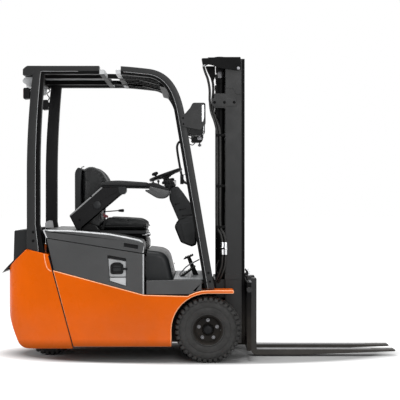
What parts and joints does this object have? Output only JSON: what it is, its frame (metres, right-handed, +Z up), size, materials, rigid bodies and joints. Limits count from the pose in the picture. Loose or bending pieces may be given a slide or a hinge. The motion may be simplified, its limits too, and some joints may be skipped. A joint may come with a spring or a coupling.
{
  "type": "compact three-wheel electric counterbalance forklift",
  "caption": "Compact three-wheel electric counterbalance forklift with two-stage mast, forks, overhead guard, driver seat, tilting battery hood and twin steered rear wheel.",
  "frame": {"origin": "on the floor under the middle of the truck's box, fork tips and rear end included", "axes": "+X forwards along the forks, +Y to the driver's left, +Z up"},
  "size_m": [2.81, 1.06, 2.1458],
  "materials": {
    "orange_paint": "satin",
    "dark_paint": "satin",
    "black_paint": "satin",
    "dark_plastic": "matte",
    "black_plastic": "matte",
    "tyre_rubber": "matte",
    "seat_vinyl": "satin",
    "bare_steel": "satin",
    "grey_plastic": "satin",
    "battery_case": "matte"
  },
  "bodies": {
    "chassis": {"side_panel_right": "orange_paint", "side_panel_left": "orange_paint", "counterweight": "orange_paint", "guard_rear_right": "dark_paint", "guard_front_right": "dark_paint", "guard_left": "dark_paint", "roof_bars": "dark_paint", "tail_cover": "dark_plastic", "floor": "dark_plastic", "leg_shield": "dark_plastic", "steering_column": "dark_plastic", "front_cowl": "dark_plastic", "chassis_frame": "black_paint", "drive_axle": "black_paint", "hood_hinge": "black_paint", "battery": "battery_case", "brake_pedal": "black_plastic", "accelerator_pedal": "black_plastic", "rear_lamp_right": "black_plastic", "rear_lamp_left": "black_plastic", "front_lamp_right": "black_plastic", "front_lamp_left": "black_plastic", "grab_handle": "black_plastic", "roof_panel": "grey_plastic", "beacon": "grey_plastic"},
    "front_wheel_right": {"front_tyre_right": "tyre_rubber", "front_rim_right": "black_paint"},
    "front_wheel_left": {"front_tyre_left": "tyre_rubber", "front_rim_left": "black_paint"},
    "steer_knuckle": {"rear_knuckle": "black_paint"},
    "rear_wheels": {"rear_tyre_right": "tyre_rubber", "rear_tyre_left": "tyre_rubber", "rear_hub": "black_paint"},
    "mast_outer": {"outer_mast": "dark_paint", "lift_cylinder_right": "black_paint", "lift_cylinder_left": "black_paint"},
    "mast_inner": {"inner_mast": "dark_paint", "hose_guide": "black_plastic"},
    "carriage": {"fork_carriage": "dark_paint"},
    "fork_arm_right": {"fork_right": "black_paint"},
    "fork_arm_left": {"fork_left": "black_paint"},
    "tilt_barrel_right": {"tilt_cylinder_right": "black_paint"},
    "tilt_barrel_left": {"tilt_cylinder_left": "black_paint"},
    "tilt_ram_right": {"tilt_rod_right": "bare_steel"},
    "tilt_ram_left": {"tilt_rod_left": "bare_steel"},
    "hood": {"battery_hood": "dark_plastic", "seat_base": "black_plastic", "seat_cushion": "seat_vinyl", "seat_back": "seat_vinyl", "armrest": "dark_plastic", "control_console": "dark_plastic"},
    "door_right": {"battery_door_right": "dark_plastic"},
    "door_left": {"battery_door_left": "dark_plastic"},
    "wheel_of_steering": {"steering_wheel": "black_plastic"}
  },
  "joints": [
    {"name": "front_wheel_right_roll", "type": "hinge", "parent": "chassis", "child": "front_wheel_right", "pos_m": [0.053, -0.441, 0.22706], "axis": [0, 1, 0], "continuous": true},
    {"name": "front_wheel_left_roll", "type": "hinge", "parent": "chassis", "child": "front_wheel_left", "pos_m": [0.053, 0.441, 0.22706], "axis": [0, 1, 0], "continuous": true},
    {"name": "rear_steer", "type": "hinge", "parent": "chassis", "child": "steer_knuckle", "pos_m": [-1.087, 0, 0.42], "axis": [0, 0, 1], "range_deg": [-90, 90]},
    {"name": "rear_wheels_roll", "type": "hinge", "parent": "steer_knuckle", "child": "rear_wheels", "pos_m": [-1.087, 0, 0.18881], "axis": [0, 1, 0], "continuous": true},
    {"name": "mast_tilt", "type": "hinge", "parent": "chassis", "child": "mast_outer", "pos_m": [0.053, 0, 0.22706], "axis": [0, 1, 0], "range_deg": [-7, 5]},
    {"name": "mast_lift", "type": "slide", "parent": "mast_outer", "child": "mast_inner", "axis": [0, 0, 1], "range_m": [0, 1.55]},
    {"name": "carriage_lift", "type": "slide", "parent": "mast_inner", "child": "carriage", "axis": [0, 0, 1], "range_m": [0, 1.55]},
    {"name": "fork_right_shift", "type": "slide", "parent": "carriage", "child": "fork_arm_right", "axis": [0, 1, 0], "range_m": [-0.25, 0.08]},
    {"name": "fork_left_shift", "type": "slide", "parent": "carriage", "child": "fork_arm_left", "axis": [0, 1, 0], "range_m": [-0.08, 0.25]},
    {"name": "tilt_barrel_right_swing", "type": "hinge", "parent": "chassis", "child": "tilt_barrel_right", "pos_m": [-0.277, -0.165, 0.42], "axis": [0, 1, 0], "range_deg": [-3, 3]},
    {"name": "tilt_ram_right_stroke", "type": "slide", "parent": "tilt_barrel_right", "child": "tilt_ram_right", "axis": [0.981, 0, 0.1938], "range_m": [-0.04, 0.03]},
    {"name": "tilt_barrel_left_swing", "type": "hinge", "parent": "chassis", "child": "tilt_barrel_left", "pos_m": [-0.277, 0.165, 0.42], "axis": [0, 1, 0], "range_deg": [-3, 3]},
    {"name": "tilt_ram_left_stroke", "type": "slide", "parent": "tilt_barrel_left", "child": "tilt_ram_left", "axis": [0.981, 0, 0.1938], "range_m": [-0.04, 0.03]},
    {"name": "hood_open", "type": "hinge", "parent": "chassis", "child": "hood", "pos_m": [-1.067, 0, 0.905], "axis": [0, -1, 0], "range_deg": [0, 50]},
    {"name": "door_right_open", "type": "hinge", "parent": "chassis", "child": "door_right", "pos_m": [-0.388, -0.517, 0.4708], "axis": [0.965, 0, -0.2623], "range_deg": [0, 75]},
    {"name": "door_left_open", "type": "hinge", "parent": "chassis", "child": "door_left", "pos_m": [-0.388, 0.517, 0.4708], "axis": [-0.965, 0, 0.2623], "range_deg": [0, 75]},
    {"name": "steering_turn", "type": "hinge", "parent": "chassis", "child": "wheel_of_steering", "pos_m": [-0.254, 0, 1.31], "axis": [-0.342, 0, 0.9397], "continuous": true}
  ],
  "couplings": [
    {"joint": "carriage_lift", "follows": "mast_lift", "ratio": 1},
    {"joint": "tilt_barrel_right_swing", "follows": "mast_tilt", "ratio": 0.3},
    {"joint": "tilt_ram_right_stroke", "follows": "mast_tilt", "m_per_rad": 0.2535},
    {"joint": "tilt_barrel_left_swing", "follows": "mast_tilt", "ratio": 0.3},
    {"joint": "tilt_ram_left_stroke", "follows": "mast_tilt", "m_per_rad": 0.2535}
  ]
}
